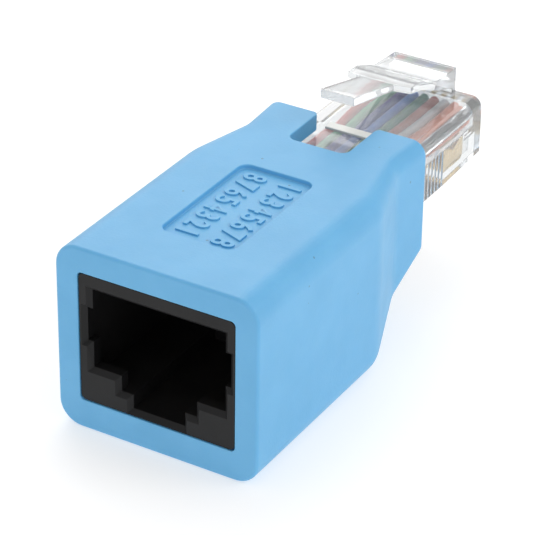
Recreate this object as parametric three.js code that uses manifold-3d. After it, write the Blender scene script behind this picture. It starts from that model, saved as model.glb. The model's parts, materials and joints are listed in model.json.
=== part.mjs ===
// Rollover adapter: a moulded housing with a modular jack in its block end and a clear modular
// plug held in its neck. Millimetres, X across, Y from the jack face towards the plug's nose, Z up.
// The origin is under the middle of the whole length, at the level that the underside rests on.
// The pieces are drawn with Y counted from the jack face, and the group is moved back by half the length.
import * as THREE from "three";
import { mergeVertices } from "three/addons/utils/BufferGeometryUtils.js";
import Module from "manifold-3d";

const wasm = await Module();
wasm.setup();

// Housing
const HOUSING_WIDTH = 18.6;
const HOUSING_HEIGHT = 16.7;
const BLOCK_LENGTH = 19.8;
const TAPER_LENGTH = 5.4;
const NECK_LENGTH = 4.6;
const NECK_WIDTH = 15.2;
const NECK_RISE = 5.6;
const BLOCK_CORNER_RADIUS = 2.1;
const NECK_CORNER_RADIUS = 1.7;
const EDGE_RADIUS = 0.45;
const SHOULDER_BEND = 0.9;
const NECK_BEND = 1.5;

// Recessed panel in the top
const PANEL_WIDTH = 6.8;
const PANEL_LENGTH = 12.5;
const PANEL_START = 5.8;
const PANEL_DEPTH = 0.4;
const PANEL_CORNER_RADIUS = 1.3;

// Notch in the neck's top, which the latch finger is pressed into
const NOTCH_WIDTH = 5.9;
const NOTCH_LENGTH = 5.4;
const NOTCH_CORNER_RADIUS = 1.2;

// Jack insert and its socket
const INSERT_WIDTH = 14.3;
const INSERT_HEIGHT = 11.65;
const INSERT_DEPTH = 18.4;
const INSERT_FLOOR = 0.45;
const INSERT_RECESS = 0.1;
const INSERT_CORNER_RADIUS = 0.5;
const INSERT_GAP = 0.15;
const FLOOR_WALL = 2.6;
const SOCKET_DEPTH = 12.6;
const MOUTH_DEPTH = 1.3;
const MOUTH_CHAMFER = 0.4;
const GUIDE_WIDTH = 12.2;
const SOCKET_WIDTH = 13.2;
const CEILING_WALL = 1.45;
const RELIEF_BASE = 5.45;
const RELIEF_HEIGHT = 3;
const SHOULDER_HEIGHT = 3.1;
const STEP_HEIGHT = 1.7;
const KEYWAY_WIDTH = 7;
const SLOT_WIDTH = 4.8;

// Contacts and wires, one for each of the eight positions
const POSITIONS = 8;
const PITCH = 1.02;
const WIRE_DIAMETER = 0.94;
const SPRING_WIDTH = 0.46;
const SPRING_THICKNESS = 0.3;
const SPRING_GAP = 0.15;
const SPRING_START = 2.4;
const SPRING_FALL = 2.3;
const SPRING_REACH = 6;
const BLADE_THICKNESS = 0.35;
const BLADE_LENGTH = 3.8;
const BLADE_INSET = 2.1;
const BLADE_RECESS = 0.35;
const BLADE_NOTCH = 0.9;
const BLADE_GAP = 0.1;

// Plug
const PLUG_WIDTH = 11.5;
const PLUG_HEIGHT = 5.8;
const PLUG_LENGTH = 21.5;
const PLUG_EXPOSED = 14.4;
const PLUG_REAR_RAISE = 0.55;
const PLUG_COVER = 1.85;
const PLUG_TOP_RADIUS = 1;
const PLUG_BOTTOM_RADIUS = 0.3;
const PLUG_RAISED_LENGTH = 8.9;
const PLUG_RAMP_LENGTH = 0.6;
const PLUG_NOSE_CHAMFER = 0.3;
const PLUG_NOSE_LIFT = 0.25;
const PLUG_LIFT_LENGTH = 7;
const PLUG_SEAT_GAP = 0.3;
const WIRE_HEIGHT = 3.6;
const WIRE_GAP = 0.12;
const WIRE_END_WALL = 1.6;
const WIRE_END_GAP = 0.3;
const BAR_WIDTH = 5;
const BAR_LENGTH = 0.55;
const BAR_HEIGHT = 0.25;
const CONTACT_GROOVE = 2.2;

// Latch
const LATCH_WIDTH = 6.2;
const LATCH_FINGER_WIDTH = 3.24;
const LATCH_LENGTH = 16;
const LATCH_WIDE_LENGTH = 8.7;
const LATCH_STEP_LENGTH = 0.5;
const LATCH_ROOT_HEIGHT = 2.2;
const LATCH_ROOT_LENGTH = 4;
const LATCH_SHOULDER_START = 6.9;
const LATCH_SHOULDER_HEIGHT = 3.7;
const LATCH_TIP_HEIGHT = 5.7;
const LATCH_THICKNESS = 0.87;
const LATCH_KNUCKLE_RADIUS = 0.7;
const LATCH_GAP = 0.3;
const LATCH_ARM_RISE = 1.3;

const OVERSHOOT = 1;
const ARC_STEPS = 6;
const WIRE_SIDES = 12;
const EDGE_STATIONS = 3;
const MERGE_TOLERANCE = 1e-5;

const housingLength = BLOCK_LENGTH + TAPER_LENGTH + NECK_LENGTH;
const neckStart = BLOCK_LENGTH + TAPER_LENGTH;
const plugNose = housingLength + PLUG_EXPOSED;
const plugRear = plugNose - PLUG_LENGTH;
const plugRearTop = HOUSING_HEIGHT - PLUG_COVER;
const plugTop = plugRearTop - PLUG_REAR_RAISE;
const plugBottom = plugTop - PLUG_HEIGHT;
const wireZ = plugBottom + WIRE_HEIGHT;
const insertBottom = FLOOR_WALL + INSERT_GAP;
const insertTop = insertBottom + INSERT_HEIGHT;
const insertRear = INSERT_RECESS + INSERT_DEPTH;
const socketCeiling = insertTop - CEILING_WALL;
const socketRear = INSERT_RECESS + SOCKET_DEPTH;
const wireStart = insertRear + WIRE_END_GAP;
const wireEnd = plugNose - WIRE_END_WALL - WIRE_END_GAP;
const positionSpan = (POSITIONS - 1) * PITCH;

const positionX = (index) => index * PITCH - positionSpan / 2;

function toSolid(geometry) {
  const bare = geometry.clone();
  bare.deleteAttribute("normal");
  bare.deleteAttribute("uv");
  const merged = mergeVertices(bare, MERGE_TOLERANCE);
  return new wasm.Manifold(new wasm.Mesh({
    numProp: 3,
    vertProperties: new Float32Array(merged.attributes.position.array),
    triVerts: new Uint32Array(merged.index.array),
  }));
}

function toGeometry(solid) {
  const mesh = solid.getMesh();
  const geometry = new THREE.BufferGeometry();
  geometry.setAttribute("position", new THREE.BufferAttribute(new Float32Array(mesh.vertProperties), 3));
  geometry.setIndex(new THREE.BufferAttribute(new Uint32Array(mesh.triVerts), 1));
  geometry.computeVertexNormals();
  return geometry;
}

// Box between two values on each axis
function block(x0, x1, y0, y1, z0, z1) {
  const geometry = new THREE.BoxGeometry(x1 - x0, y1 - y0, z1 - z0);
  geometry.translate((x0 + x1) / 2, (y0 + y1) / 2, (z0 + z1) / 2);
  return toSolid(geometry);
}

// Outline of [y, z] points, extruded across the part about its middle plane
function sideExtrusion(outline, width) {
  const shape = new THREE.Shape(outline.map(([y, z]) => new THREE.Vector2(y, z)));
  const geometry = new THREE.ExtrudeGeometry(shape, { depth: width, bevelEnabled: false });
  const axes = new THREE.Matrix4().makeBasis(
    new THREE.Vector3(0, 1, 0), new THREE.Vector3(0, 0, 1), new THREE.Vector3(1, 0, 0));
  geometry.applyMatrix4(axes);
  geometry.translate(-width / 2, 0, 0);
  return toSolid(geometry);
}

// Outline of [x, y] points, extruded upwards
function planExtrusion(outline, z0, z1) {
  const shape = new THREE.Shape(outline.map(([x, y]) => new THREE.Vector2(x, y)));
  const geometry = new THREE.ExtrudeGeometry(shape, { depth: z1 - z0, bevelEnabled: false });
  geometry.translate(0, 0, z0);
  return toSolid(geometry);
}

// Rectangle with its own radius at each corner, counter-clockwise from the lower left
function roundedOutline(u0, u1, v0, v1, lowRadius, highRadius) {
  const corners = [
    [u0, v0, 1, 1, lowRadius, Math.PI],
    [u1, v0, -1, 1, lowRadius, -Math.PI / 2],
    [u1, v1, -1, -1, highRadius, 0],
    [u0, v1, 1, -1, highRadius, Math.PI / 2],
  ];
  const points = [];
  for (const [u, v, inU, inV, radius, start] of corners) {
    for (let step = 0; step <= ARC_STEPS; step += 1) {
      const angle = start + (step / ARC_STEPS) * (Math.PI / 2);
      points.push([u + inU * radius + radius * Math.cos(angle), v + inV * radius + radius * Math.sin(angle)]);
    }
  }
  return points;
}

// Closed solid through sections [y, outline of x and z], all with the same number of points
function loft(sections) {
  const count = sections[0][1].length;
  const positions = [];
  const index = [];
  for (const [y, outline] of sections) {
    for (const [x, z] of outline) {
      positions.push(x, y, z);
    }
  }
  for (let section = 0; section + 1 < sections.length; section += 1) {
    for (let point = 0; point < count; point += 1) {
      const next = (point + 1) % count;
      const a = section * count + point;
      const b = section * count + next;
      index.push(a, a + count, b, b, a + count, b + count);
    }
  }
  const last = (sections.length - 1) * count;
  const frontPoints = sections[0][1].map(([x, z]) => new THREE.Vector2(x, z));
  for (const [a, b, c] of THREE.ShapeUtils.triangulateShape(frontPoints, [])) {
    index.push(a, b, c);
  }
  const backPoints = sections[sections.length - 1][1].map(([x, z]) => new THREE.Vector2(x, z));
  for (const [a, b, c] of THREE.ShapeUtils.triangulateShape(backPoints, [])) {
    index.push(last + a, last + c, last + b);
  }
  const geometry = new THREE.BufferGeometry();
  geometry.setAttribute("position", new THREE.BufferAttribute(new Float32Array(positions), 3));
  geometry.setIndex(index);
  return toSolid(geometry);
}

// Distance past a bend, with the bend itself rounded over its half length
function pastBend(y, bend, halfLength) {
  if (y <= bend - halfLength) {
    return 0;
  }
  if (y >= bend + halfLength) {
    return y - bend;
  }
  return (y - bend + halfLength) ** 2 / (4 * halfLength);
}

// How much a rounded end edge draws the outline in
function edgeInset(y, length) {
  const reach = Math.min(y, length - y);
  if (reach >= EDGE_RADIUS) {
    return 0;
  }
  return EDGE_RADIUS - Math.sqrt(EDGE_RADIUS ** 2 - (EDGE_RADIUS - reach) ** 2);
}

function housingSection(y) {
  const along = pastBend(y, BLOCK_LENGTH, SHOULDER_BEND) - pastBend(y, neckStart, NECK_BEND);
  const share = along / TAPER_LENGTH;
  const rise = (NECK_RISE / (TAPER_LENGTH + NECK_LENGTH)) * pastBend(y, BLOCK_LENGTH, SHOULDER_BEND);
  const inset = edgeInset(y, housingLength);
  const halfWidth = HOUSING_WIDTH / 2 + share * (NECK_WIDTH - HOUSING_WIDTH) / 2 - inset;
  const radius = BLOCK_CORNER_RADIUS + share * (NECK_CORNER_RADIUS - BLOCK_CORNER_RADIUS) - inset;
  return [y, roundedOutline(-halfWidth, halfWidth, rise + inset, HOUSING_HEIGHT - inset, radius, radius)];
}

function bendStations(bend, halfLength) {
  return [-1, -0.5, 0, 0.5, 1].map((share) => bend + share * halfLength);
}

function makeHousing() {
  const edge = Array.from({ length: EDGE_STATIONS + 1 },
    (_, step) => EDGE_RADIUS * (1 - Math.cos((step / EDGE_STATIONS) * (Math.PI / 2))));
  const stations = [
    ...edge,
    ...bendStations(BLOCK_LENGTH, SHOULDER_BEND),
    ...bendStations(neckStart, NECK_BEND),
    ...edge.map((inset) => housingLength - inset).reverse(),
  ];
  const body = loft(stations.map(housingSection));

  const halfPocket = INSERT_WIDTH / 2 + INSERT_GAP;
  const insertPocket = loft([-OVERSHOOT, wireStart].map((y) => [y, roundedOutline(
    -halfPocket, halfPocket, FLOOR_WALL, insertTop + INSERT_GAP, INSERT_CORNER_RADIUS, INSERT_CORNER_RADIUS)]));

  const halfSeat = PLUG_WIDTH / 2 + PLUG_SEAT_GAP;
  const plugPocket = block(-halfSeat, halfSeat, plugRear - PLUG_SEAT_GAP, housingLength + OVERSHOOT,
    plugBottom - PLUG_SEAT_GAP, plugRearTop + PLUG_SEAT_GAP);

  const halfChannel = (positionSpan + WIRE_DIAMETER) / 2 + PLUG_SEAT_GAP;
  const halfChannelHeight = WIRE_DIAMETER / 2 + PLUG_SEAT_GAP;
  const wireChannel = block(-halfChannel, halfChannel, insertRear, plugRear,
    wireZ - halfChannelHeight, wireZ + halfChannelHeight);

  const notch = planExtrusion(
    roundedOutline(-NOTCH_WIDTH / 2, NOTCH_WIDTH / 2, housingLength - NOTCH_LENGTH, housingLength + NOTCH_LENGTH,
      NOTCH_CORNER_RADIUS, NOTCH_CORNER_RADIUS),
    plugRearTop, HOUSING_HEIGHT + OVERSHOOT);

  const panel = planExtrusion(
    roundedOutline(-PANEL_WIDTH / 2, PANEL_WIDTH / 2, PANEL_START, PANEL_START + PANEL_LENGTH,
      PANEL_CORNER_RADIUS, PANEL_CORNER_RADIUS),
    HOUSING_HEIGHT - PANEL_DEPTH, HOUSING_HEIGHT + OVERSHOOT);

  return [insertPocket, plugPocket, wireChannel, notch, panel].reduce((rest, cut) => rest.subtract(cut), body);
}

// Stepped opening of the socket, widened all round by a lead-in
function mouthOutline(leadIn) {
  const slotFloor = insertBottom + INSERT_FLOOR - leadIn;
  const slot = SLOT_WIDTH / 2 + leadIn;
  const keyway = KEYWAY_WIDTH / 2 + leadIn;
  const guide = GUIDE_WIDTH / 2 + leadIn;
  const relief = SOCKET_WIDTH / 2 + leadIn;
  const step = insertBottom + STEP_HEIGHT - leadIn;
  const shoulder = insertBottom + SHOULDER_HEIGHT - leadIn;
  const reliefBase = insertBottom + RELIEF_BASE - leadIn;
  const reliefTop = insertBottom + RELIEF_BASE + RELIEF_HEIGHT + leadIn;
  const right = [
    [slot, slotFloor],
    [slot, step],
    [keyway, step],
    [keyway, shoulder],
    [guide, shoulder],
    [guide, reliefBase],
    [relief, reliefBase],
    [relief, reliefTop],
    [guide, reliefTop],
    [guide, socketCeiling + leadIn],
  ];
  return [...right, ...right.map(([x, z]) => [-x, z]).reverse()];
}

function makeInsert() {
  const half = INSERT_WIDTH / 2;
  const body = loft([INSERT_RECESS, insertRear].map((y) => [y, roundedOutline(
    -half, half, insertBottom, insertTop, INSERT_CORNER_RADIUS, INSERT_CORNER_RADIUS)]));
  const leadIn = loft([
    [INSERT_RECESS - MOUTH_CHAMFER, mouthOutline(2 * MOUTH_CHAMFER)],
    [INSERT_RECESS + MOUTH_CHAMFER, mouthOutline(0)],
  ]);
  const mouthEnd = INSERT_RECESS + MOUTH_DEPTH;
  const mouth = loft([-OVERSHOOT, mouthEnd + OVERSHOOT].map((y) => [y, mouthOutline(0)]));
  const cavity = block(-SOCKET_WIDTH / 2, SOCKET_WIDTH / 2, mouthEnd, socketRear,
    insertBottom + STEP_HEIGHT, socketCeiling);
  const slot = block(-SLOT_WIDTH / 2, SLOT_WIDTH / 2, mouthEnd, socketRear,
    insertBottom + INSERT_FLOOR, insertBottom + STEP_HEIGHT + OVERSHOOT);
  return [leadIn, mouth, cavity, slot].reduce((rest, cut) => rest.subtract(cut), body);
}

// Bent spring: a leg along the socket's ceiling, then the sloping arm that a plug's blade meets
function makeSpring() {
  const top = socketCeiling - SPRING_GAP;
  const bottom = top - SPRING_THICKNESS;
  const front = INSERT_RECESS + SPRING_START;
  const rear = socketRear - SPRING_GAP;
  return sideExtrusion([
    [rear, bottom],
    [rear, top],
    [front, top],
    [front - SPRING_THICKNESS, bottom],
    [front, bottom - SPRING_THICKNESS],
    [front + SPRING_REACH, bottom - SPRING_FALL],
    [front + SPRING_REACH, bottom - SPRING_FALL + SPRING_THICKNESS],
    [front + SPRING_THICKNESS, bottom],
  ], SPRING_WIDTH);
}

function plugSection(y) {
  const fromRear = y - plugRear;
  const toNose = plugNose - y;
  const rampShare = Math.min(Math.max((fromRear - PLUG_RAISED_LENGTH) / PLUG_RAMP_LENGTH, 0), 1);
  const lift = Math.max(PLUG_LIFT_LENGTH - toNose, 0) / PLUG_LIFT_LENGTH * PLUG_NOSE_LIFT;
  const inset = Math.max(PLUG_NOSE_CHAMFER - toNose, 0);
  const top = plugRearTop - rampShare * PLUG_REAR_RAISE - inset;
  const half = PLUG_WIDTH / 2 - inset;
  return [y, roundedOutline(-half, half, plugBottom + lift + inset, top, PLUG_BOTTOM_RADIUS, PLUG_TOP_RADIUS)];
}

function makePlugBody() {
  const rampStart = plugRear + PLUG_RAISED_LENGTH;
  const stations = [
    plugRear,
    rampStart,
    rampStart + PLUG_RAMP_LENGTH,
    plugNose - PLUG_LIFT_LENGTH,
    plugNose - PLUG_NOSE_CHAMFER,
    plugNose,
  ];
  const bar = block(-BAR_WIDTH / 2, BAR_WIDTH / 2, rampStart - BAR_LENGTH, rampStart,
    plugRearTop - BAR_HEIGHT, plugRearTop + BAR_HEIGHT);
  let body = loft(stations.map(plugSection)).add(bar);

  const halfChannel = (positionSpan + WIRE_DIAMETER) / 2 + WIRE_GAP;
  const halfHeight = WIRE_DIAMETER / 2 + WIRE_GAP;
  body = body.subtract(block(-halfChannel, halfChannel, plugRear - OVERSHOOT, plugNose - WIRE_END_WALL,
    wireZ - halfHeight, wireZ + halfHeight));

  const halfSlot = BLADE_THICKNESS / 2 + BLADE_GAP;
  const bladeFront = plugNose - BLADE_INSET;
  for (let index = 0; index < POSITIONS; index += 1) {
    const x = positionX(index);
    body = body.subtract(block(x - halfSlot, x + halfSlot, bladeFront - BLADE_LENGTH - BLADE_GAP,
      bladeFront + BLADE_GAP, plugBottom - OVERSHOOT, wireZ));
    body = body.subtract(block(x - halfSlot, x + halfSlot, bladeFront, plugNose + OVERSHOOT,
      plugBottom - OVERSHOOT, plugBottom + CONTACT_GROOVE));
  }
  return body;
}

// Contact blade under its wire, with the notch between its two tines
function makeBlade() {
  const front = plugNose - BLADE_INSET;
  const rear = front - BLADE_LENGTH;
  const middle = (front + rear) / 2;
  const low = plugBottom + PLUG_NOSE_LIFT + BLADE_RECESS;
  const high = wireZ - WIRE_DIAMETER / 2 - BLADE_GAP;
  return sideExtrusion([
    [rear, low],
    [front - BLADE_RECESS, low],
    [front, low + BLADE_RECESS],
    [front, high],
    [middle, high - BLADE_NOTCH],
    [rear, high],
  ], BLADE_THICKNESS);
}

function makeWire() {
  const length = wireEnd - wireStart;
  const geometry = new THREE.CylinderGeometry(WIRE_DIAMETER / 2, WIRE_DIAMETER / 2, length, WIRE_SIDES);
  geometry.translate(0, wireStart + length / 2, wireZ);
  return geometry;
}

// Springy latch: a thick root at the nose, a locking shoulder and a narrow finger over the neck
function makeLatch() {
  const hingeZ = plugTop + LATCH_GAP + LATCH_KNUCKLE_RADIUS;
  const front = plugNose - LATCH_GAP / 2;
  const hingeY = front - LATCH_KNUCKLE_RADIUS;
  const tipY = front - LATCH_LENGTH;
  const shoulderY = plugNose - LATCH_SHOULDER_START;
  const knuckle = [];
  for (let step = 0; step <= ARC_STEPS; step += 1) {
    const angle = -Math.PI / 2 + (step / ARC_STEPS) * (Math.PI / 2);
    knuckle.push([hingeY + LATCH_KNUCKLE_RADIUS * Math.cos(angle), hingeZ + LATCH_KNUCKLE_RADIUS * Math.sin(angle)]);
  }
  const profile = sideExtrusion([
    ...knuckle,
    [front, plugTop + LATCH_ROOT_HEIGHT],
    [plugNose - LATCH_ROOT_LENGTH, plugTop + LATCH_ROOT_HEIGHT + LATCH_GAP],
    [shoulderY, plugTop + LATCH_SHOULDER_HEIGHT],
    [front - LATCH_WIDE_LENGTH, plugTop + LATCH_SHOULDER_HEIGHT + LATCH_GAP / 2],
    [tipY, plugTop + LATCH_TIP_HEIGHT],
    [tipY, plugTop + LATCH_TIP_HEIGHT - LATCH_THICKNESS],
    [shoulderY, plugTop + LATCH_SHOULDER_HEIGHT - LATCH_THICKNESS],
    [front - LATCH_ROOT_LENGTH + LATCH_KNUCKLE_RADIUS, plugTop + LATCH_ARM_RISE],
    [hingeY - LATCH_KNUCKLE_RADIUS, plugTop + LATCH_GAP + LATCH_KNUCKLE_RADIUS / 2],
  ], LATCH_WIDTH);
  const wide = LATCH_WIDTH / 2;
  const narrow = LATCH_FINGER_WIDTH / 2;
  const stepY = front - LATCH_WIDE_LENGTH;
  const plan = planExtrusion([
    [-narrow, tipY - OVERSHOOT],
    [narrow, tipY - OVERSHOOT],
    [narrow, stepY - LATCH_STEP_LENGTH],
    [wide, stepY],
    [wide, plugNose + OVERSHOOT],
    [-wide, plugNose + OVERSHOOT],
    [-wide, stepY],
    [-narrow, stepY - LATCH_STEP_LENGTH],
  ], plugTop, plugTop + LATCH_TIP_HEIGHT + OVERSHOOT);
  return profile.intersect(plan);
}

const material = (color, roughness, metalness = 0, opacity = 1) =>
  new THREE.MeshStandardMaterial({ color, roughness, metalness, opacity, transparent: opacity < 1 });

const blueVinyl = material(0x77b4e6, 0.5);
const blackPlastic = material(0x2b2b2d, 0.55);
const clearPlastic = material(0xe8ecec, 0.08, 0, 0.4);
const gold = material(0xd9b25a, 0.25, 1);
const wireColors = [0xe2584c, 0x4fae7c, 0x24348c, 0x3f78c8, 0x1d7561, 0xa8483a, 0xb9bcc0, 0xd0674a];

const adapter = new THREE.Group();
adapter.position.y = -plugNose / 2;

function addPiece(name, geometry, pieceMaterial, x = 0) {
  const mesh = new THREE.Mesh(geometry, pieceMaterial);
  mesh.name = name;
  mesh.position.x = x;
  adapter.add(mesh);
}

addPiece("housing", toGeometry(makeHousing()), blueVinyl);
addPiece("jack_insert", toGeometry(makeInsert()), blackPlastic);
addPiece("plug_body", toGeometry(makePlugBody()), clearPlastic);
addPiece("plug_latch", toGeometry(makeLatch()), clearPlastic);

const springGeometry = toGeometry(makeSpring());
const bladeGeometry = toGeometry(makeBlade());
const wireGeometry = makeWire();
for (let index = 0; index < POSITIONS; index += 1) {
  const number = index + 1;
  const x = positionX(index);
  addPiece(`jack_contact_${number}`, springGeometry, gold, x);
  addPiece(`plug_blade_${number}`, bladeGeometry, gold, x);
  addPiece(`wire_${number}`, wireGeometry, material(wireColors[index % wireColors.length], 0.5), x);
}

export default adapter;
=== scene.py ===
# Looks of the rollover adapter: fine surfaces, materials, floor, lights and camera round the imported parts.
# Shapes are drawn in millimetres, with Y counted from the jack face, and made into metres of the row frame
# as each piece is finished.
import json
import math

import bmesh
import bpy
from mathutils import Matrix, Vector

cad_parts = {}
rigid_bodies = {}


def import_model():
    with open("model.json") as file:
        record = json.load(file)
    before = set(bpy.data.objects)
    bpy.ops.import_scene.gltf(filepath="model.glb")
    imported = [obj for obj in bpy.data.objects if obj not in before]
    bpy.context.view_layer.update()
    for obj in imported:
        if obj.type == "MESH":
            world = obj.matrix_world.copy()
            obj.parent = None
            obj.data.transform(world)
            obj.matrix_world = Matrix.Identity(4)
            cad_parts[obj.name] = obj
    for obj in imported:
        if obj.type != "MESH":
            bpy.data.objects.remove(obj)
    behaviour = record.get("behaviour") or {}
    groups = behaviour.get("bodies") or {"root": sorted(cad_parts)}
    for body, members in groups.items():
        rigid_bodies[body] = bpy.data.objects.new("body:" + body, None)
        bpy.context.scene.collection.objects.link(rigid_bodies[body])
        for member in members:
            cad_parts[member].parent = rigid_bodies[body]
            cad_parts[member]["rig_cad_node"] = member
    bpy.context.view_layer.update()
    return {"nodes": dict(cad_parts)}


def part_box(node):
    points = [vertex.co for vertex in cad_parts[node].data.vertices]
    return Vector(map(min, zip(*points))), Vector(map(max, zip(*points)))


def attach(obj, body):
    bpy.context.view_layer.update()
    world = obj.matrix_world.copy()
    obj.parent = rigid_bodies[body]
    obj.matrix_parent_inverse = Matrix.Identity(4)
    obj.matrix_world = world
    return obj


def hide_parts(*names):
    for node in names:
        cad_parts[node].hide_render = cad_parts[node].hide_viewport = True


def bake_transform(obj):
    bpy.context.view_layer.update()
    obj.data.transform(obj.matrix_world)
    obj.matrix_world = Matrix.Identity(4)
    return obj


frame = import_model()

MM = 0.001
JACK_FACE = Vector((0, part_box("housing")[0].y, 0))


def box_mm(node):
    """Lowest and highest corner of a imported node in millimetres, with Y from the jack face."""
    return [(corner - JACK_FACE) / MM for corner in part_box(node)]


# Sizes from the frame
housing_low, housing_high = box_mm("housing")
insert_low, insert_high = box_mm("jack_insert")
plug_low, plug_high = box_mm("plug_body")
latch_low, latch_high = box_mm("plug_latch")
blade_low, blade_high = box_mm("plug_blade_1")
POSITIONS = sum(name.startswith("wire_") for name in frame["nodes"])
wire_boxes = [box_mm(f"wire_{number}") for number in range(1, POSITIONS + 1)]

# Housing
UNDERSIDE_LENGTH = 19.8
SIDE_TAPER_START = 19.3
SIDE_TAPER_LENGTH = 6.0
NECK_START_WIDTH = 14.8
NECK_END_WIDTH = 15.35
NECK_RISE = 5.6
BLOCK_CORNER_RADIUS = 2.1
NECK_CORNER_RADIUS = 1.35
SHOULDER_BEND = 0.8
NECK_BEND = 0.6
FRONT_EDGE_RADIUS = 0.3
RIM_RADIUS = 0.1
POCKET_RIM_RADIUS = 0.08
POCKET_RIM_REACH = 1.0
INSERT_GAP = 0.07
INSERT_CORNER_RADIUS = 0.4
INSERT_EDGE_RADIUS = 0.08
PLUG_GAP = 0.3
PLUG_COVER = 1.85
NOTCH_WIDTH = 5.6
NOTCH_CENTRE = 0.15
NOTCH_LENGTH = 5.4
NOTCH_CORNER_RADIUS = 0.8
NOTCH_END_RADIUS = 0.6

# Recessed panel and its raised digits
PANEL_WIDTH = 6.8
PANEL_LENGTH = 12.9
PANEL_START = 5.8
PANEL_DEPTH = 0.4
PANEL_CORNER_RADIUS = 0.9
DIGIT_HEIGHT = 2.0
DIGIT_NARROWING = 0.78
DIGIT_PITCH = 1.48
DIGIT_RAISE = 0.24
DIGIT_STROKE_GAIN = 0.03
DIGIT_BEVEL = 0.03
DIGIT_ROW_CENTRES = {"pin_digits_upper": 1.75, "pin_digits_lower": -1.5}
FONT_HEIGHT_SHARE = 0.7

# Plug
REAR_RAISE = 0.55
RAISED_LENGTH = 8.9
RAMP_LENGTH = 0.6
NOSE_LIFT = 0.25
LIFT_LENGTH = 7.0
NOSE_INSET = 0.02
PLUG_TOP_RADIUS = 1.0
PLUG_BOTTOM_RADIUS = 0.3
PLUG_EDGE_RADIUS = 0.16
BAR_WIDTH = 5.0
BAR_LENGTH = 1.0
BAR_GAP = 0.005
BAR_EDGE_RADIUS = 0.05
CAVITY_HEIGHT = 1.1
CAVITY_MARGIN = 0.3
CAVITY_END_GAP = 0.25
BLADE_GAP = 0.1
CONTACT_GROOVE = 2.2
GROOVE_EDGE_RADIUS = 0.05
CONTACT_EDGE_RADII = {"jack_contact": 0.05, "plug_blade": 0.03}

# Latch
LATCH_STEP_LENGTH = 0.5
LATCH_WIDE_LENGTH = 8.7
LATCH_THICKNESS = 0.87
LATCH_GAP = 0.3
LATCH_EDGE_RADIUS = 0.08
FINGER_WIDTH = 3.24
ROOT_HEIGHT = 2.2
ROOT_LENGTH = 4.0
SHOULDER_START = 6.9
SHOULDER_HEIGHT = 3.7
KNUCKLE_RADIUS = 0.7
ARM_RISE = 1.3

# Wires
WIRE_RADIUS = 0.45
WIRE_GATHER = 0.89
WIRE_RUN_ON = 1.0
WIRE_SIDES = 20
WIRE_STEPS = 48
FAN_START = 33.0
FAN_END = 38.5

# Drawing: how far a cutter runs past what it cuts, steps of curves, and limits of distance and angle
OVERSHOOT = 1.0
ARC_STEPS = 12
BEND_STEPS = 10
JOIN_DISTANCE = 0.001
BEVEL_LIMIT = math.radians(34)
FLAT_LIMIT = math.radians(0.3)
SMOOTH_LIMIT = math.radians(38)

# Colours, the darker and the lighter end of each drift
VINYL_COLOURS = (0.108, 0.388, 0.665), (0.122, 0.412, 0.695)
BLACK_COLOURS = (0.007, 0.007, 0.0075), (0.01, 0.01, 0.0105)
PRESSED_COLOURS = (0.8, 0.8, 0.76), (0.86, 0.86, 0.83)
GOLD_COLOURS = (0.8, 0.56, 0.24), (0.92, 0.7, 0.36)
CLEAR_COLOUR = (0.84, 0.86, 0.87)
SPECK_COLOUR = (0.05, 0.07, 0.1)
WIRE_LIGHTENING = 1.12
WIRE_COLOURS = {
    "wire_red": (0.9, 0.09, 0.07),
    "wire_light_green": (0.16, 0.56, 0.3),
    "wire_dark_blue": (0.01, 0.03, 0.36),
    "wire_blue": (0.04, 0.22, 0.8),
    "wire_green": (0.005, 0.22, 0.13),
    "wire_brown": (0.55, 0.12, 0.07),
    "wire_grey": (0.8, 0.77, 0.78),
    "wire_orange": (0.85, 0.22, 0.1),
}

# Surfaces: sizes and depths of features in millimetres
VINYL_ROUGHNESS = 0.45
BLACK_ROUGHNESS = 0.42
SATIN_ROUGHNESS = 0.4
CLEAR_ROUGHNESS = 0.06
CLEAR_IOR = 1.55
CLEAR_TRANSMISSION = 0.92
CLEAR_WAVE_SIZE = 1.8
CLEAR_WAVE_STRENGTH = 0.4
GOLD_ROUGHNESS = (0.2, 0.35)
GOLD_DRIFT_SIZE = 0.8
GOLD_DRIFT_RANGE = (0.3, 0.7)
DRIFT_SIZE = 4.0
DRIFT_RANGE = (0.35, 0.65)
GLOSS_SIZE = 1.5
GLOSS_SWING = 0.06
WAVE_SIZE = 2.5
WAVE_DEPTH = 0.02
WAVE_STRENGTH = 0.5
GRAIN_STRENGTH = 0.6
WIRE_GRAIN_DEPTH = 0.004
SUBSURFACE_RADIUS = (0.3, 0.6, 1.0)
SUBSURFACE_DEPTH = 0.6
SPECK_SPACING = 2.2
SPECK_RADIUS = 0.11
SPECK_SHARE = 0.5
SPECK_STRENGTH = 0.45

# Camera: angles in degrees, and distance, lens and target in millimetres, the target from the jack face
CAMERA_AZIMUTH = 30.39
CAMERA_ELEVATION = 30.4
CAMERA_ROLL = 0.82
CAMERA_DISTANCE = 210.25
CAMERA_TARGET = (3.006, 11.944, 12.038)
CAMERA_LENS = 176.9
SENSOR_WIDTH = 36
CLIP_START = 0.01

# Lights: direction, size and distance in metres, and power in watts of each
LIGHTS = {
    "key_light": ((-0.4, 0.3, 1.0), 0.35, 0.55, 0.6),
    "back_panel": ((-0.5, 0.86, 0.5), 0.8, 0.9, 2.0),
    "right_fill": ((1.0, 0.3, 0.7), 0.3, 0.5, 0.7),
    "front_fill": ((0.35, -1.0, 0.25), 0.3, 0.6, 0.4),
}
SKY_STRENGTH = 0.68
FLOOR_REACH = 4
FLOOR_TONE = 0.6
FLOOR_ROUGHNESS = 0.8
FLOOR_GLOW = 0.48
LIGHT_BOUNCES = 32

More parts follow.
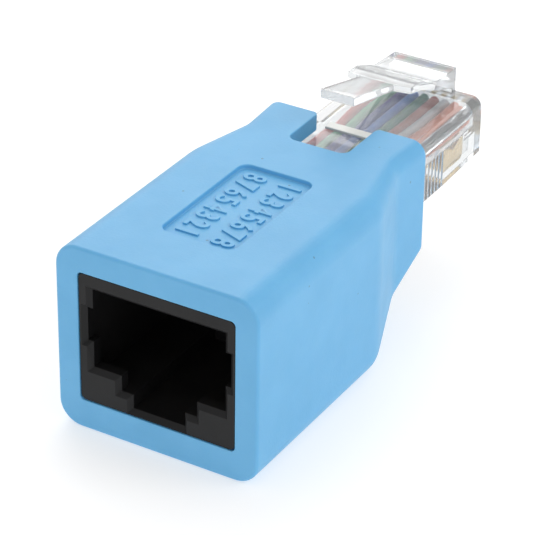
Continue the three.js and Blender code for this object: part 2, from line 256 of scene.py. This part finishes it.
block_width = housing_high.x - housing_low.x
housing_height = housing_high.z
housing_length = housing_high.y
neck_start = SIDE_TAPER_START + SIDE_TAPER_LENGTH
plug_half = plug_high.x
plug_nose = plug_high.y
plug_rear = plug_low.y
plug_rear_top = housing_height - PLUG_COVER
plug_top = plug_rear_top - REAR_RAISE
plug_bottom = plug_low.z
wire_z = (wire_boxes[0][0].z + wire_boxes[0][1].z) / 2
wire_xs = [(low.x + high.x) / 2 for low, high in wire_boxes]


def mesh_object(name, vertices, faces):
    """New object, still in millimetres."""
    mesh = bpy.data.meshes.new(name)
    mesh.from_pydata(vertices, [], faces)
    obj = bpy.data.objects.new(name, mesh)
    bpy.context.scene.collection.objects.link(obj)
    return obj


def arc(u, v, radius, start, sweep):
    """Points on an arc about (u, v), from the start angle through the sweep."""
    angles = [start + sweep * step / ARC_STEPS for step in range(ARC_STEPS + 1)]
    return [(u + radius * math.cos(angle), v + radius * math.sin(angle)) for angle in angles]


def rounded_outline(u0, u1, v0, v1, low_radius, high_radius):
    """Rectangle with rounded corners, counter-clockwise from the lower left."""
    corners = [
        (u0 + low_radius, v0 + low_radius, low_radius, math.pi),
        (u1 - low_radius, v0 + low_radius, low_radius, -math.pi / 2),
        (u1 - high_radius, v1 - high_radius, high_radius, 0),
        (u0 + high_radius, v1 - high_radius, high_radius, math.pi / 2),
    ]
    return [point for u, v, radius, start in corners for point in arc(u, v, radius, start, math.pi / 2)]


def loft(name, sections):
    """Closed solid through sections (y, outline of x and z)."""
    count = len(sections[0][1])
    vertices = [(x, y, z) for y, outline in sections for x, z in outline]
    faces = []
    for section in range(len(sections) - 1):
        for point in range(count):
            a = section * count + point
            b = section * count + (point + 1) % count
            faces.append((a, a + count, b + count, b))
    last = (len(sections) - 1) * count
    faces.append(tuple(range(count)))
    faces.append(tuple(last + point for point in reversed(range(count))))
    return mesh_object(name, vertices, faces)


def prism(name, outline, low, high, place):
    """Outline of points (u, v), extruded from low to high. place(u, v, w) gives the point in space."""
    count = len(outline)
    vertices = [place(u, v, w) for w in (low, high) for u, v in outline]
    following = [(point + 1) % count for point in range(count)]
    faces = [(point, after, after + count, point + count) for point, after in enumerate(following)]
    faces.append(tuple(reversed(range(count))))
    faces.append(tuple(range(count, 2 * count)))
    obj = mesh_object(name, vertices, faces)
    face_outwards(obj)
    return obj


def plan_prism(name, outline, z0, z1):
    """Upright prism with a plan of x and y."""
    return prism(name, outline, z0, z1, lambda u, v, w: (u, v, w))


def side_prism(name, outline, width):
    """Prism with a side view of y and z, as far to the left as to the right."""
    return prism(name, outline, -width / 2, width / 2, lambda u, v, w: (w, u, v))


def block(name, x0, x1, y0, y1, z0, z1):
    """Block with flat sides."""
    return plan_prism(name, [(x0, y0), (x1, y0), (x1, y1), (x0, y1)], z0, z1)


def face_outwards(obj):
    """Turns all faces outwards."""
    edit = bmesh.new()
    edit.from_mesh(obj.data)
    bmesh.ops.recalc_face_normals(edit, faces=edit.faces)
    edit.to_mesh(obj.data)
    edit.free()


def apply_modifiers(obj):
    """Makes the result of the modifiers the object's own mesh."""
    bpy.context.view_layer.update()
    graph = bpy.context.evaluated_depsgraph_get()
    mesh = bpy.data.meshes.new_from_object(obj.evaluated_get(graph))
    obj.modifiers.clear()
    obj.data = mesh


def combine(obj, operation, others):
    """Joins others to obj, cuts them out of it or keeps what they share, and removes them."""
    for other in others:
        modifier = obj.modifiers.new(other.name, "BOOLEAN")
        modifier.operation = operation
        modifier.solver = "EXACT"
        modifier.object = other
    apply_modifiers(obj)
    for other in others:
        bpy.data.objects.remove(other)


def bevel_edges(obj, radius_at, segments=3):
    """Rounds the sharp edges, each with the radius that radius_at gives for its two ends."""
    edit = bmesh.new()
    edit.from_mesh(obj.data)
    bmesh.ops.dissolve_limit(edit, angle_limit=FLAT_LIMIT, verts=edit.verts, edges=edit.edges)
    weights = edit.edges.layers.float.new("bevel_weight_edge")
    largest = 0
    sharp = {}
    for edge in edit.edges:
        if len(edge.link_faces) == 2 and edge.calc_face_angle() > BEVEL_LIMIT:
            sharp[edge] = radius_at(*(vertex.co for vertex in edge.verts))
            largest = max(largest, sharp[edge])
    for edge, radius in sharp.items():
        edge[weights] = radius / largest
    edit.to_mesh(obj.data)
    edit.free()
    bevel = obj.modifiers.new("Rounded edges", "BEVEL")
    bevel.width = largest
    bevel.segments = segments
    bevel.limit_method = "WEIGHT"
    bevel.use_clamp_overlap = False
    apply_modifiers(obj)


def smooth(obj):
    """Smooth shading that leaves sharp edges sharp and flat faces flat."""
    obj.data.shade_smooth()
    obj.data.set_sharp_from_angle(angle=SMOOTH_LIMIT)
    modifier = obj.modifiers.new("Flat faces stay flat", "WEIGHTED_NORMAL")
    modifier.keep_sharp = True
    apply_modifiers(obj)


def to_frame(obj):
    """From millimetres to metres of the row frame."""
    obj.data.transform(Matrix.Translation(JACK_FACE) @ Matrix.Scale(MM, 4))


def past_bend(y, bend, half_length):
    """Distance past a bend, with the bend itself rounded over its half length."""
    if y <= bend - half_length:
        return 0
    if y >= bend + half_length:
        return y - bend
    return (y - bend + half_length) ** 2 / (4 * half_length)


def bend_stations(bend, half_length):
    """Values of y that draw a rounded bend."""
    return [bend + half_length * (2 * step / BEND_STEPS - 1) for step in range(BEND_STEPS + 1)]


def housing_section(y):
    """Outline at y: the sides taper to a neck that flares a little, and the underside rises."""
    past_neck = past_bend(y, neck_start, NECK_BEND)
    share = (past_bend(y, SIDE_TAPER_START, SHOULDER_BEND) - past_neck) / SIDE_TAPER_LENGTH
    flare = past_neck / (housing_length - neck_start)
    slope = NECK_RISE / (housing_length - UNDERSIDE_LENGTH)
    width = block_width + share * (NECK_START_WIDTH - block_width) + flare * (NECK_END_WIDTH - NECK_START_WIDTH)
    half = width / 2
    radius = BLOCK_CORNER_RADIUS + share * (NECK_CORNER_RADIUS - BLOCK_CORNER_RADIUS)
    rise = slope * past_bend(y, UNDERSIDE_LENGTH, SHOULDER_BEND)
    return y, rounded_outline(-half, half, rise, housing_height, radius, radius)


def housing_radius(a, b):
    """Edge radius from where the edge lies on the housing."""
    middle = (a + b) / 2
    if middle.y >= FRONT_EDGE_RADIUS:
        return RIM_RADIUS
    in_width = insert_low.x - POCKET_RIM_REACH < middle.x < insert_high.x + POCKET_RIM_REACH
    in_height = insert_low.z - POCKET_RIM_REACH < middle.z < insert_high.z + POCKET_RIM_REACH
    return POCKET_RIM_RADIUS if in_width and in_height else FRONT_EDGE_RADIUS


def notch_outline():
    """Plan of the notch, with rounded inner corners and rounded ends where it meets the back face."""
    left = NOTCH_CENTRE - NOTCH_WIDTH / 2
    right = NOTCH_CENTRE + NOTCH_WIDTH / 2
    inner = housing_length - NOTCH_LENGTH + NOTCH_CORNER_RADIUS
    end = housing_length + RIM_RADIUS / 2 - NOTCH_END_RADIUS
    past = housing_length + OVERSHOOT
    quarter = math.pi / 2
    return [
        *arc(left + NOTCH_CORNER_RADIUS, inner, NOTCH_CORNER_RADIUS, math.pi, quarter),
        *arc(right - NOTCH_CORNER_RADIUS, inner, NOTCH_CORNER_RADIUS, -quarter, quarter),
        *arc(right + NOTCH_END_RADIUS, end, NOTCH_END_RADIUS, math.pi, -quarter),
        (right + NOTCH_END_RADIUS, past),
        (left - NOTCH_END_RADIUS, past),
        *arc(left - NOTCH_END_RADIUS, end, NOTCH_END_RADIUS, quarter, -quarter),
    ]


def make_housing():
    """Moulding with pockets for the insert and the plug, the notch and the recessed panel."""
    stations = [
        0,
        *bend_stations(SIDE_TAPER_START, SHOULDER_BEND),
        *bend_stations(UNDERSIDE_LENGTH, SHOULDER_BEND),
        *bend_stations(neck_start, NECK_BEND),
        housing_length,
    ]
    shell = loft("housing_moulding", [housing_section(y) for y in sorted(stations)])
    pocket_outline = rounded_outline(
        insert_low.x - INSERT_GAP, insert_high.x + INSERT_GAP,
        insert_low.z - INSERT_GAP, insert_high.z + INSERT_GAP,
        INSERT_CORNER_RADIUS, INSERT_CORNER_RADIUS)
    insert_pocket = loft("insert_pocket", [(y, pocket_outline) for y in (-OVERSHOOT, wire_boxes[0][0].y)])
    half_seat = plug_half + PLUG_GAP
    plug_pocket = block("plug_pocket", -half_seat, half_seat, plug_rear - PLUG_GAP, housing_length + OVERSHOOT,
                        plug_bottom - PLUG_GAP, plug_rear_top + PLUG_GAP)
    notch = plan_prism("notch", notch_outline(), plug_rear_top, housing_height + OVERSHOOT)
    panel = plan_prism("panel", rounded_outline(
        -PANEL_WIDTH / 2, PANEL_WIDTH / 2, PANEL_START, PANEL_START + PANEL_LENGTH,
        PANEL_CORNER_RADIUS, PANEL_CORNER_RADIUS), housing_height - PANEL_DEPTH, housing_height + OVERSHOOT)
    combine(shell, "DIFFERENCE", [insert_pocket, plug_pocket, notch, panel])
    bevel_edges(shell, housing_radius, segments=4)
    smooth(shell)
    to_frame(shell)
    return shell


def make_digit_row(name, text, centre_x):
    """Raised digits that read from the neck towards the jack."""
    size = DIGIT_HEIGHT / FONT_HEIGHT_SHARE
    turn = Matrix.Rotation(-math.pi / 2, 4, "Z") @ Matrix.Scale(DIGIT_NARROWING, 4, (1, 0, 0))
    start = PANEL_START + PANEL_LENGTH / 2 + DIGIT_PITCH * (len(text) - 1) / 2
    edit = bmesh.new()
    for index, character in enumerate(text):
        curve = bpy.data.curves.new(character, "FONT")
        curve.body = character
        curve.size = size
        curve.align_x = "CENTER"
        curve.offset = DIGIT_STROKE_GAIN
        curve.extrude = DIGIT_RAISE / 2
        curve.bevel_depth = DIGIT_BEVEL
        curve.bevel_resolution = 2
        digit = bpy.data.objects.new(character, curve)
        bpy.context.scene.collection.objects.link(digit)
        bpy.context.view_layer.update()
        mesh = bpy.data.meshes.new_from_object(digit.evaluated_get(bpy.context.evaluated_depsgraph_get()))
        place = Vector((centre_x - DIGIT_HEIGHT / 2, start - index * DIGIT_PITCH, housing_height - PANEL_DEPTH))
        mesh.transform(Matrix.Translation(place) @ turn)
        edit.from_mesh(mesh)
        bpy.data.objects.remove(digit)
    row = mesh_object(name, [], [])
    bmesh.ops.remove_doubles(edit, verts=edit.verts, dist=JOIN_DISTANCE)
    edit.to_mesh(row.data)
    edit.free()
    smooth(row)
    to_frame(row)
    return row


def plug_section(y):
    """Outline at y: the rear is raised, and the underside lifts towards the nose."""
    lowered = min(max((y - plug_rear - RAISED_LENGTH) / RAMP_LENGTH, 0), 1)
    lift = max(LIFT_LENGTH - (plug_nose - y), 0) / LIFT_LENGTH * NOSE_LIFT
    return y, rounded_outline(-plug_half, plug_half, plug_bottom + lift, plug_rear_top - lowered * REAR_RAISE,
                              PLUG_BOTTOM_RADIUS, PLUG_TOP_RADIUS)


def plug_radius(a, b):
    """Edge radius from where the edge lies: on the latch, on the plug's body or low down at the grooves."""
    if min(a.z, b.z) > plug_top + LATCH_GAP:
        return LATCH_EDGE_RADIUS
    return PLUG_EDGE_RADIUS if a.z > plug_bottom + CONTACT_GROOVE else GROOVE_EDGE_RADIUS


def make_latch_solid():
    """Latch from its root at the nose, over the locking shoulder, to the finger's tip, with the hinge strip."""
    hinge_z = plug_top + LATCH_GAP + KNUCKLE_RADIUS
    front = plug_nose - NOSE_INSET
    hinge_y = front - KNUCKLE_RADIUS
    shoulder_y = plug_nose - SHOULDER_START
    step_y = front - LATCH_WIDE_LENGTH
    tip_y = latch_low.y
    tip_z = latch_high.z
    profile = side_prism("plug_latch_profile", [
        *arc(hinge_y, hinge_z, KNUCKLE_RADIUS, -math.pi / 2, math.pi / 2),
        (front, plug_top + ROOT_HEIGHT),
        (plug_nose - ROOT_LENGTH, plug_top + ROOT_HEIGHT + LATCH_GAP),
        (shoulder_y, plug_top + SHOULDER_HEIGHT),
        (step_y, plug_top + SHOULDER_HEIGHT + LATCH_GAP / 2),
        (tip_y, tip_z),
        (tip_y, tip_z - LATCH_THICKNESS),
        (shoulder_y, plug_top + SHOULDER_HEIGHT - LATCH_THICKNESS),
        (front - ROOT_LENGTH + KNUCKLE_RADIUS, plug_top + ARM_RISE),
        (hinge_y - KNUCKLE_RADIUS, plug_top + LATCH_GAP + KNUCKLE_RADIUS / 2),
    ], latch_high.x - latch_low.x)
    wide = latch_high.x
    narrow = FINGER_WIDTH / 2
    plan = plan_prism("plug_latch_plan", [
        (-narrow, tip_y - OVERSHOOT),
        (narrow, tip_y - OVERSHOOT),
        (narrow, step_y - LATCH_STEP_LENGTH),
        (wide, step_y),
        (wide, plug_nose + OVERSHOOT),
        (-wide, plug_nose + OVERSHOOT),
        (-wide, step_y),
        (-narrow, step_y - LATCH_STEP_LENGTH),
    ], plug_top, tip_z + OVERSHOOT)
    combine(profile, "INTERSECT", [plan])
    strip = block("hinge_strip", -wide, wide, hinge_y, front, plug_top - LATCH_GAP, hinge_z)
    combine(profile, "UNION", [strip])
    return profile


def make_plug():
    """Plug and latch as one moulding, with a cavity for the wires and slots for the blades."""
    ramp_start = plug_rear + RAISED_LENGTH
    stations = [plug_rear, ramp_start, ramp_start + RAMP_LENGTH, plug_nose - LIFT_LENGTH, plug_nose - NOSE_INSET]
    moulding = loft("plug_moulding", [plug_section(y) for y in stations])
    combine(moulding, "UNION", [make_latch_solid()])

    half_cavity = wire_xs[-1] + WIRE_RADIUS + CAVITY_MARGIN
    cavity_end = wire_boxes[0][1].y + WIRE_RUN_ON + CAVITY_END_GAP
    cavity = block("cavity", -half_cavity, half_cavity, plug_rear - OVERSHOOT, cavity_end,
                   wire_z - CAVITY_HEIGHT / 2, wire_z + CAVITY_HEIGHT / 2)
    half_slot = (blade_high.x - blade_low.x) / 2 + BLADE_GAP
    slots = []
    for index, x in enumerate(wire_xs):
        slots.append(block(f"slot_{index}", x - half_slot, x + half_slot, blade_low.y - BLADE_GAP,
                           blade_high.y + BLADE_GAP, plug_bottom - OVERSHOOT, wire_z))
        slots.append(block(f"groove_{index}", x - half_slot, x + half_slot, blade_high.y, plug_nose + OVERSHOOT,
                           plug_bottom - OVERSHOOT, plug_bottom + CONTACT_GROOVE))
    combine(moulding, "DIFFERENCE", [cavity])
    combine(moulding, "DIFFERENCE", slots)
    bevel_edges(moulding, plug_radius, segments=2)
    smooth(moulding)
    to_frame(moulding)
    return moulding


def make_bar():
    """Pressed-in strain relief that shows as a pale bar behind the notch."""
    back = plug_rear + RAISED_LENGTH
    bar = block("strain_relief_bar", -BAR_WIDTH / 2, BAR_WIDTH / 2, back - BAR_LENGTH, back,
                plug_rear_top + BAR_GAP, plug_high.z)
    bevel_edges(bar, lambda a, b: BAR_EDGE_RADIUS)
    smooth(bar)
    to_frame(bar)
    return bar


def make_wire(number):
    """Wire that touches its neighbours in the cavity and fans out to its own blade."""
    x = wire_xs[number - 1]
    low, high = wire_boxes[number - 1]
    angles = [2 * math.pi * side / WIRE_SIDES for side in range(WIRE_SIDES)]
    ring = [(WIRE_RADIUS * math.cos(angle), wire_z + WIRE_RADIUS * math.sin(angle)) for angle in angles]
    sections = []
    for step in range(WIRE_STEPS + 1):
        y = low.y + (high.y + WIRE_RUN_ON - low.y) * step / WIRE_STEPS
        share = min(max((y - FAN_START) / (FAN_END - FAN_START), 0), 1)
        fan = WIRE_GATHER + (1 - WIRE_GATHER) * share * share * (3 - 2 * share)
        sections.append((y, [(x * fan + across, z) for across, z in ring]))
    wire = loft(f"wire_insulation_{number}", sections)
    smooth(wire)
    to_frame(wire)
    return wire


def new_material(name):
    """New material, with its nodes, its links and its shader."""
    material = bpy.data.materials.new(name)
    material.use_nodes = True
    nodes = material.node_tree.nodes
    return material, nodes, material.node_tree.links, nodes["Principled BSDF"]


def object_place(nodes):
    """Place on the object, which a texture follows."""
    return nodes.new("ShaderNodeTexCoord").outputs["Object"]


def noise(nodes, links, place, feature_mm, detail=3.0):
    """Noise texture whose features are feature_mm across."""
    texture = nodes.new("ShaderNodeTexNoise")
    texture.inputs["Scale"].default_value = 1 / (feature_mm * MM)
    texture.inputs["Detail"].default_value = detail
    links.new(place, texture.inputs["Vector"])
    return texture.outputs["Fac"]


def ramp(nodes, links, value, low, high, dark, light):
    """Colours from dark to light as value goes from low to high."""
    node = nodes.new("ShaderNodeValToRGB")
    for element, position, colour in zip(node.color_ramp.elements, (low, high), (dark, light)):
        element.position = position
        element.color = (*colour, 1)
    links.new(value, node.inputs["Fac"])
    return node.outputs["Color"]


def bump(nodes, links, height, depth_mm, strength, normal=None):
    """Normals of a fine relief, on top of those of another one if there is one."""
    node = nodes.new("ShaderNodeBump")
    node.inputs["Strength"].default_value = strength
    node.inputs["Distance"].default_value = depth_mm * MM
    links.new(height, node.inputs["Height"])
    if normal is not None:
        links.new(normal, node.inputs["Normal"])
    return node.outputs["Normal"]


def spread(nodes, links, value, low, high):
    """Value from 0 to 1, turned into one from low to high."""
    node = nodes.new("ShaderNodeMapRange")
    node.inputs["To Min"].default_value = low
    node.inputs["To Max"].default_value = high
    links.new(value, node.inputs["Value"])
    return node.outputs["Result"]


def below(nodes, links, value, limit):
    """One where the value is below the limit, and zero elsewhere."""
    node = nodes.new("ShaderNodeMath")
    node.operation = "LESS_THAN"
    node.inputs[1].default_value = limit
    links.new(value, node.inputs[0])
    return node.outputs[0]


def add_specks(nodes, links, place, colour):
    """Colour with a few sparse dark specks of dirt."""
    cells = nodes.new("ShaderNodeTexVoronoi")
    cells.inputs["Scale"].default_value = 1 / (SPECK_SPACING * MM)
    links.new(place, cells.inputs["Vector"])
    both = nodes.new("ShaderNodeMath")
    both.operation = "MULTIPLY"
    links.new(below(nodes, links, cells.outputs["Distance"], SPECK_RADIUS / SPECK_SPACING), both.inputs[0])
    links.new(below(nodes, links, cells.outputs["Color"], SPECK_SHARE), both.inputs[1])
    mix = nodes.new("ShaderNodeMixRGB")
    links.new(spread(nodes, links, both.outputs[0], 0, SPECK_STRENGTH), mix.inputs["Fac"])
    links.new(colour, mix.inputs["Color1"])
    mix.inputs["Color2"].default_value = (*SPECK_COLOUR, 1)
    return mix.outputs["Color"]


def grained_plastic(name, dark, light, roughness, grain_mm=0.12, grain_depth=0.01, specular=0.5, subsurface=0.0,
                    dirty=False):
    """Moulded plastic: slow colour drift, uneven gloss, satin grain and faint waviness."""
    material, nodes, links, shader = new_material(name)
    shader.inputs["Specular IOR Level"].default_value = specular
    if subsurface:
        shader.inputs["Subsurface Weight"].default_value = subsurface
        shader.inputs["Subsurface Radius"].default_value = SUBSURFACE_RADIUS
        shader.inputs["Subsurface Scale"].default_value = SUBSURFACE_DEPTH * MM
    place = object_place(nodes)
    drift = noise(nodes, links, place, DRIFT_SIZE)
    colour = ramp(nodes, links, drift, *DRIFT_RANGE, dark, light)
    if dirty:
        colour = add_specks(nodes, links, place, colour)
    links.new(colour, shader.inputs["Base Color"])
    gloss = noise(nodes, links, place, GLOSS_SIZE)
    uneven = spread(nodes, links, gloss, roughness - GLOSS_SWING, roughness + GLOSS_SWING)
    links.new(uneven, shader.inputs["Roughness"])
    waves = bump(nodes, links, noise(nodes, links, place, WAVE_SIZE, detail=1.0), WAVE_DEPTH, WAVE_STRENGTH)
    grain = bump(nodes, links, noise(nodes, links, place, grain_mm), grain_depth, GRAIN_STRENGTH, waves)
    links.new(grain, shader.inputs["Normal"])
    return material


def clear_plastic(name):
    """Clear moulded plastic with faint waviness."""
    material, nodes, links, shader = new_material(name)
    shader.inputs["Base Color"].default_value = (*CLEAR_COLOUR, 1)
    shader.inputs["Roughness"].default_value = CLEAR_ROUGHNESS
    shader.inputs["IOR"].default_value = CLEAR_IOR
    shader.inputs["Transmission Weight"].default_value = CLEAR_TRANSMISSION
    height = noise(nodes, links, object_place(nodes), CLEAR_WAVE_SIZE, detail=1.0)
    links.new(bump(nodes, links, height, WAVE_DEPTH, CLEAR_WAVE_STRENGTH), shader.inputs["Normal"])
    return material


def gold_plate(name):
    """Thin gold plating whose tone and gloss drift together."""
    material, nodes, links, shader = new_material(name)
    shader.inputs["Metallic"].default_value = 1
    drift = noise(nodes, links, object_place(nodes), GOLD_DRIFT_SIZE)
    links.new(ramp(nodes, links, drift, *GOLD_DRIFT_RANGE, *GOLD_COLOURS), shader.inputs["Base Color"])
    links.new(spread(nodes, links, drift, *GOLD_ROUGHNESS), shader.inputs["Roughness"])
    return material


def dress(obj, material):
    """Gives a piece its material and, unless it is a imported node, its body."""
    obj.data.materials.clear()
    obj.data.materials.append(material)
    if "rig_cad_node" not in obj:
        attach(obj, "adapter")


def refine_node(node, radius_mm):
    """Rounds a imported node's edges without touching its mesh."""
    weld = node.modifiers.new("Joined corners", "WELD")
    weld.merge_threshold = JOIN_DISTANCE * MM
    bevel = node.modifiers.new("Rounded edges", "BEVEL")
    bevel.width = radius_mm * MM
    bevel.segments = 2
    bevel.limit_method = "ANGLE"
    bevel.angle_limit = BEVEL_LIMIT
    normals = node.modifiers.new("Flat faces stay flat", "WEIGHTED_NORMAL")
    normals.keep_sharp = True


def make_stage():
    """Pale floor, soft lights and an even sky."""
    floor = mesh_object("floor", [(-1, -1, 0), (1, -1, 0), (1, 1, 0), (-1, 1, 0)], [(0, 1, 2, 3)])
    floor.scale = (FLOOR_REACH, FLOOR_REACH, 1)
    material, _, _, shader = new_material("pale_floor")
    shader.inputs["Base Color"].default_value = (FLOOR_TONE, FLOOR_TONE, FLOOR_TONE, 1)
    shader.inputs["Roughness"].default_value = FLOOR_ROUGHNESS
    shader.inputs["Emission Color"].default_value = (1, 1, 1, 1)
    shader.inputs["Emission Strength"].default_value = FLOOR_GLOW
    floor.data.materials.append(material)

    world = bpy.data.worlds.new("sky")
    world.use_nodes = True
    sky = world.node_tree.nodes["Background"]
    sky.inputs["Color"].default_value = (1, 1, 1, 1)
    sky.inputs["Strength"].default_value = SKY_STRENGTH
    bpy.context.scene.world = world

    for name, (direction, size, distance, power) in LIGHTS.items():
        lamp = bpy.data.lights.new(name, "AREA")
        lamp.shape = "DISK"
        lamp.size = size
        lamp.energy = power
        obj = bpy.data.objects.new(name, lamp)
        towards = Vector(direction).normalized()
        obj.location = towards * distance
        obj.rotation_mode = "QUATERNION"
        obj.rotation_quaternion = towards.to_track_quat("Z", "Y")
        bpy.context.scene.collection.objects.link(obj)


def make_camera():
    """Long lens that looks down on the jack end from the right."""
    azimuth = math.radians(CAMERA_AZIMUTH)
    elevation = math.radians(CAMERA_ELEVATION)
    back = Vector((math.sin(azimuth) * math.cos(elevation), -math.cos(azimuth) * math.cos(elevation),
                   math.sin(elevation)))
    target = Vector(CAMERA_TARGET) * MM + JACK_FACE
    data = bpy.data.cameras.new("camera")
    data.lens = CAMERA_LENS
    data.sensor_width = SENSOR_WIDTH
    data.clip_start = CLIP_START
    camera = bpy.data.objects.new("camera", data)
    camera.rotation_mode = "QUATERNION"
    roll = Matrix.Rotation(math.radians(CAMERA_ROLL), 4, "Z").to_quaternion()
    camera.rotation_quaternion = back.to_track_quat("Z", "Y") @ roll
    camera.location = target + back * CAMERA_DISTANCE * MM
    bpy.context.scene.collection.objects.link(camera)
    bpy.context.scene.camera = camera


def make_pieces():
    """Every visible piece, with its material, its body and the nodes that it replaces."""
    vinyl = grained_plastic("blue_vinyl", *VINYL_COLOURS, VINYL_ROUGHNESS,
                            grain_mm=0.2, grain_depth=0.03, specular=0.65, subsurface=0.15, dirty=True)
    housing = make_housing()
    dress(housing, vinyl)
    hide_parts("housing")
    digits = "".join(str(number) for number in range(1, POSITIONS + 1))
    for (name, centre_x), text in zip(DIGIT_ROW_CENTRES.items(), (digits, digits[::-1])):
        dress(make_digit_row(name, text, centre_x), vinyl)

    insert = frame["nodes"]["jack_insert"]
    dress(insert, grained_plastic("black_plastic", *BLACK_COLOURS, BLACK_ROUGHNESS, specular=0.25))
    refine_node(insert, INSERT_EDGE_RADIUS)

    plug = make_plug()
    plug.data.materials.append(clear_plastic("clear_plastic"))
    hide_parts("plug_body", "plug_latch")
    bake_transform(plug)
    dress(make_bar(), grained_plastic("pressed_plastic", *PRESSED_COLOURS, SATIN_ROUGHNESS))

    gold = gold_plate("gold_plate")
    for number in range(1, POSITIONS + 1):
        for kind, radius in CONTACT_EDGE_RADII.items():
            node = frame["nodes"][f"{kind}_{number}"]
            dress(node, gold)
            refine_node(node, radius)
    for number, (slot, colour) in enumerate(WIRE_COLOURS.items(), start=1):
        lighter = tuple(min(1, channel * WIRE_LIGHTENING) for channel in colour)
        wire = make_wire(number)
        dress(wire, grained_plastic(slot, colour, lighter, SATIN_ROUGHNESS, grain_depth=WIRE_GRAIN_DEPTH))
        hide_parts(f"wire_{number}")


make_camera()
make_stage()
make_pieces()
scene = bpy.context.scene
scene.view_settings.view_transform = "Standard"
scene.cycles.max_bounces = LIGHT_BOUNCES
scene.cycles.glossy_bounces = LIGHT_BOUNCES
scene.cycles.transmission_bounces = LIGHT_BOUNCES
